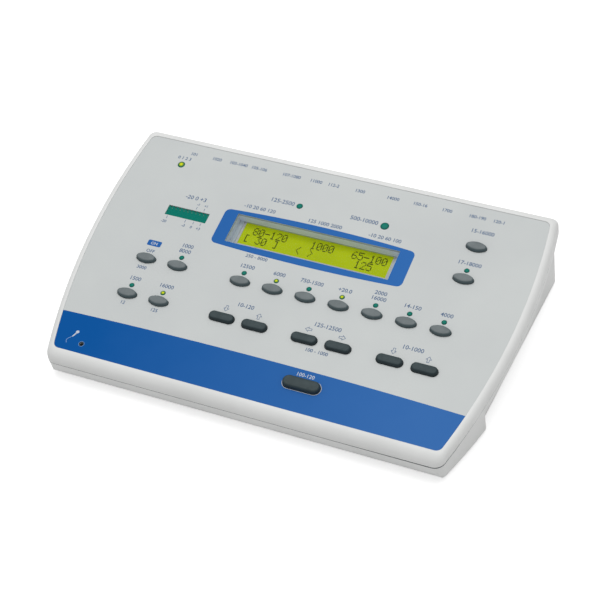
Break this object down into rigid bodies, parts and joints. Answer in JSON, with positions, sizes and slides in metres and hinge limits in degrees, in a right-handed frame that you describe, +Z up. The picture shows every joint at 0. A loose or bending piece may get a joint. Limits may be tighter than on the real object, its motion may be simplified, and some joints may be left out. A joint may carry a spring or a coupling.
{
  "type": "audiometer",
  "caption": "Wedge-shaped desktop audiometer with a sloping key panel, two-line display, level bar, indicator lights and rear sockets.",
  "frame": {"origin": "under the middle of the bounding box, on the table", "axes": "+Z up, +Y to the rear, +X to the right of someone who faces the panel"},
  "size_m": [0.2704, 0.1818, 0.06],
  "materials": {
    "case_plastic": "fine moulded texture",
    "overlay_film": "printed polyester film, satin",
    "clear_window": "clear acrylic plate",
    "grey_plastic": "moulded, satin",
    "lcd_cell": "yellow-green liquid crystal cell",
    "steel_sheet": "plated sheet",
    "circuit_board": "green solder mask",
    "green_window": "tinted clear plate",
    "led_bar": "row of small bars",
    "switch_plastic": "black moulding",
    "led_unlit": "tinted diffuse lens",
    "led_lit": "lens with its light on",
    "aluminium_can": "drawn can",
    "black_rubber": "moulded",
    "chip_plastic": "epoxy packages",
    "nut_plating": "bright nickel plating",
    "screw_steel": "zinc plated",
    "light_key_plastic": "moulded, satin",
    "dark_key_plastic": "moulded, satin",
    "foot_rubber": "moulded"
  },
  "bodies": {
    "case": {"top_case": "case_plastic", "base_case": "case_plastic", "panel_overlay": "overlay_film", "display_window": "clear_window", "display_frame": "grey_plastic", "lcd_glass": "lcd_cell", "lcd_shield": "steel_sheet", "lcd_board": "circuit_board", "meter_window": "green_window", "meter_bargraph": "led_bar", "keypad_board": "circuit_board", "key_switches": "switch_plastic", "indicator_leds": "led_unlit", "lit_leds": "led_lit", "present_led": "led_unlit", "response_led": "led_unlit", "power_led": "led_lit", "microphone": "aluminium_can", "microphone_boot": "black_rubber", "main_board": "circuit_board", "board_chips": "chip_plastic", "board_connector": "chip_plastic", "usb_socket": "steel_sheet", "data_socket": "switch_plastic", "power_socket": "switch_plastic", "large_jacks": "switch_plastic", "small_jacks": "switch_plastic", "large_jack_nuts": "nut_plating", "small_jack_nuts": "nut_plating", "keypad_screws": "screw_steel", "lcd_screws": "screw_steel", "main_board_screws": "screw_steel", "case_screws": "screw_steel", "foot_front_left": "foot_rubber", "foot_front_right": "foot_rubber", "foot_rear_left": "foot_rubber", "foot_rear_right": "foot_rubber"},
    "on_off": {"on_off_key": "light_key_plastic"},
    "test_menu": {"test_menu_key": "light_key_plastic"},
    "pulse": {"pulse_key": "light_key_plastic"},
    "mask": {"mask_key": "light_key_plastic"},
    "constant": {"constant_key": "light_key_plastic"},
    "boost": {"boost_key": "light_key_plastic"},
    "free_field": {"free_field_key": "light_key_plastic"},
    "speech": {"speech_key": "light_key_plastic"},
    "bone": {"bone_key": "light_key_plastic"},
    "left": {"left_key": "light_key_plastic"},
    "right": {"right_key": "light_key_plastic"},
    "talkback": {"talkback_key": "light_key_plastic"},
    "talkover": {"talkover_key": "light_key_plastic"},
    "signal_down": {"signal_down_key": "dark_key_plastic"},
    "signal_up": {"signal_up_key": "dark_key_plastic"},
    "frequency_down": {"frequency_down_key": "dark_key_plastic"},
    "frequency_up": {"frequency_up_key": "dark_key_plastic"},
    "masking_down": {"masking_down_key": "dark_key_plastic"},
    "masking_up": {"masking_up_key": "dark_key_plastic"},
    "present": {"present_key": "dark_key_plastic"}
  },
  "joints": [
    {"name": "on_off_press", "type": "slide", "parent": "case", "child": "on_off", "axis": [0, 0.2419, -0.9703], "range_m": [0, 0.0008], "stiffness_N_per_m": 1500},
    {"name": "test_menu_press", "type": "slide", "parent": "case", "child": "test_menu", "axis": [0, 0.2419, -0.9703], "range_m": [0, 0.0008], "stiffness_N_per_m": 1500},
    {"name": "pulse_press", "type": "slide", "parent": "case", "child": "pulse", "axis": [0, 0.2419, -0.9703], "range_m": [0, 0.0008], "stiffness_N_per_m": 1500},
    {"name": "mask_press", "type": "slide", "parent": "case", "child": "mask", "axis": [0, 0.2419, -0.9703], "range_m": [0, 0.0008], "stiffness_N_per_m": 1500},
    {"name": "constant_press", "type": "slide", "parent": "case", "child": "constant", "axis": [0, 0.2419, -0.9703], "range_m": [0, 0.0008], "stiffness_N_per_m": 1500},
    {"name": "boost_press", "type": "slide", "parent": "case", "child": "boost", "axis": [0, 0.2419, -0.9703], "range_m": [0, 0.0008], "stiffness_N_per_m": 1500},
    {"name": "free_field_press", "type": "slide", "parent": "case", "child": "free_field", "axis": [0, 0.2419, -0.9703], "range_m": [0, 0.0008], "stiffness_N_per_m": 1500},
    {"name": "speech_press", "type": "slide", "parent": "case", "child": "speech", "axis": [0, 0.2419, -0.9703], "range_m": [0, 0.0008], "stiffness_N_per_m": 1500},
    {"name": "bone_press", "type": "slide", "parent": "case", "child": "bone", "axis": [0, 0.2419, -0.9703], "range_m": [0, 0.0008], "stiffness_N_per_m": 1500},
    {"name": "left_press", "type": "slide", "parent": "case", "child": "left", "axis": [0, 0.2419, -0.9703], "range_m": [0, 0.0008], "stiffness_N_per_m": 1500},
    {"name": "right_press", "type": "slide", "parent": "case", "child": "right", "axis": [0, 0.2419, -0.9703], "range_m": [0, 0.0008], "stiffness_N_per_m": 1500},
    {"name": "talkback_press", "type": "slide", "parent": "case", "child": "talkback", "axis": [0, 0.2419, -0.9703], "range_m": [0, 0.0008], "stiffness_N_per_m": 1500},
    {"name": "talkover_press", "type": "slide", "parent": "case", "child": "talkover", "axis": [0, 0.2419, -0.9703], "range_m": [0, 0.0008], "stiffness_N_per_m": 1500},
    {"name": "signal_down_press", "type": "slide", "parent": "case", "child": "signal_down", "axis": [0, 0.2419, -0.9703], "range_m": [0, 0.0008], "stiffness_N_per_m": 1500},
    {"name": "signal_up_press", "type": "slide", "parent": "case", "child": "signal_up", "axis": [0, 0.2419, -0.9703], "range_m": [0, 0.0008], "stiffness_N_per_m": 1500},
    {"name": "frequency_down_press", "type": "slide", "parent": "case", "child": "frequency_down", "axis": [0, 0.2419, -0.9703], "range_m": [0, 0.0008], "stiffness_N_per_m": 1500},
    {"name": "frequency_up_press", "type": "slide", "parent": "case", "child": "frequency_up", "axis": [0, 0.2419, -0.9703], "range_m": [0, 0.0008], "stiffness_N_per_m": 1500},
    {"name": "masking_down_press", "type": "slide", "parent": "case", "child": "masking_down", "axis": [0, 0.2419, -0.9703], "range_m": [0, 0.0008], "stiffness_N_per_m": 1500},
    {"name": "masking_up_press", "type": "slide", "parent": "case", "child": "masking_up", "axis": [0, 0.2419, -0.9703], "range_m": [0, 0.0008], "stiffness_N_per_m": 1500},
    {"name": "present_press", "type": "slide", "parent": "case", "child": "present", "axis": [0, 0.2419, -0.9703], "range_m": [0, 0.0008], "stiffness_N_per_m": 1500}
  ]
}
